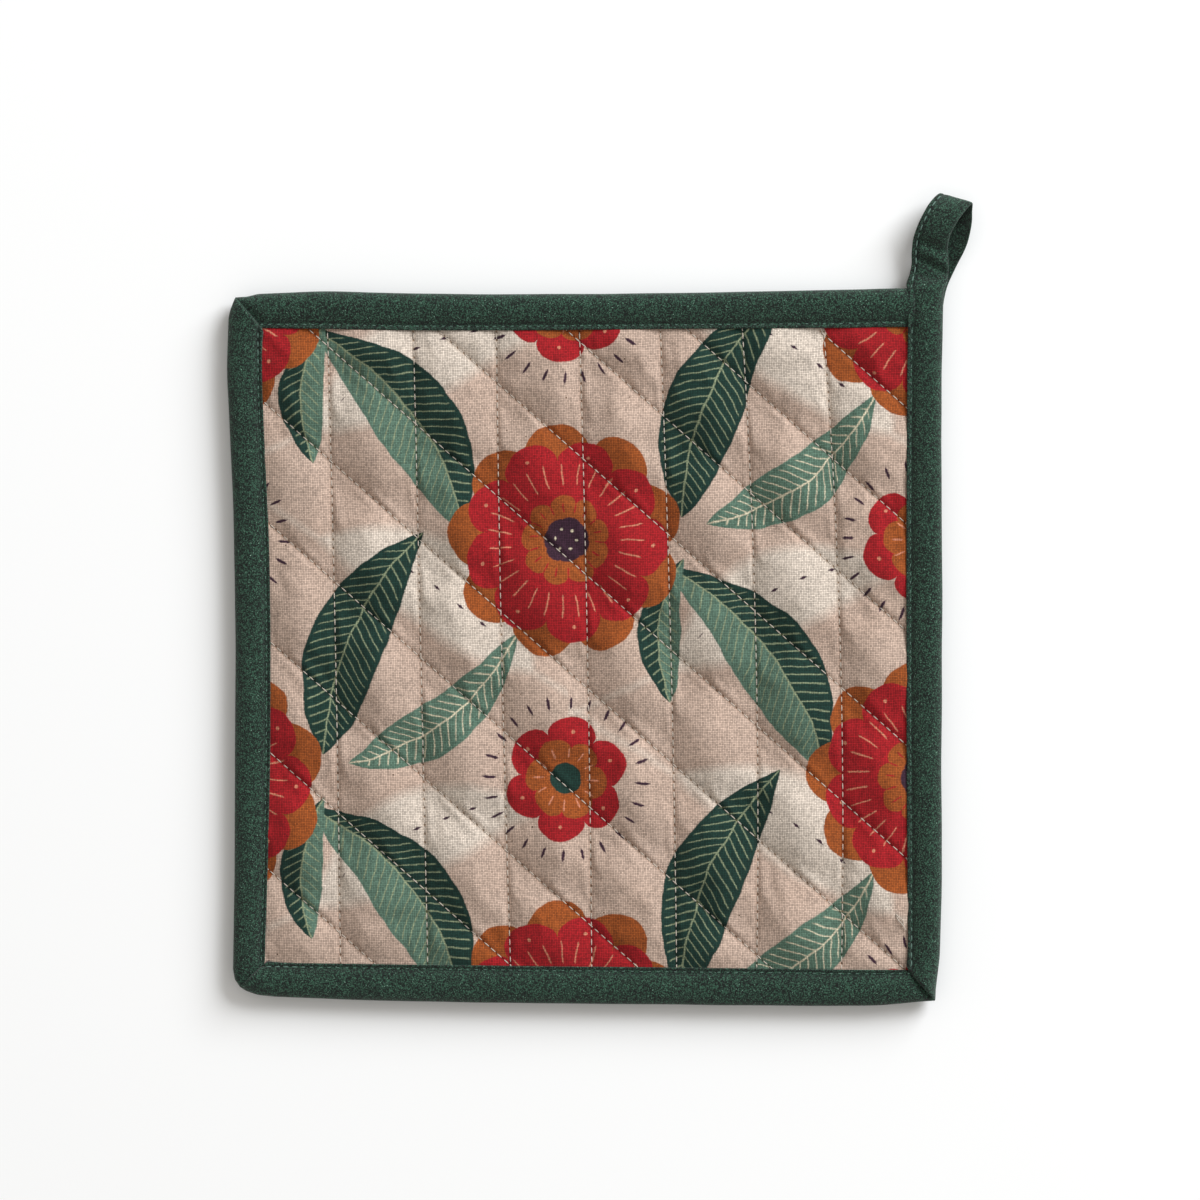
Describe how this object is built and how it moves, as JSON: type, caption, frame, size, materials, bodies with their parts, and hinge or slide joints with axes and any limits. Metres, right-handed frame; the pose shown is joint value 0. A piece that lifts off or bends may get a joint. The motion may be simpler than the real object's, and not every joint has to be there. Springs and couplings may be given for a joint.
{
  "type": "quilted pot holder",
  "caption": "Square quilted cotton pot holder with a padded panel stitched into leaning diamonds, a folded and mitred cloth binding, and a hanging loop at a corner.",
  "frame": {"origin": "on the surface it rests on, under the middle of its whole box, loop included", "axes": "+Z out of the printed face, +Y towards the edge that the loop stands out from, +X towards the side that the loop is on"},
  "size_m": [0.2137, 0.2329, 0.0086],
  "materials": {
    "printed_cotton": "matte plain-woven natural cotton with a printed pattern",
    "binding_cotton": "matte plain-woven dark green cotton"
  },
  "bodies": {
    "root": {"quilted_panel": "printed_cotton", "edge_binding": "binding_cotton", "hanging_loop": "binding_cotton"}
  },
  "joints": []
}
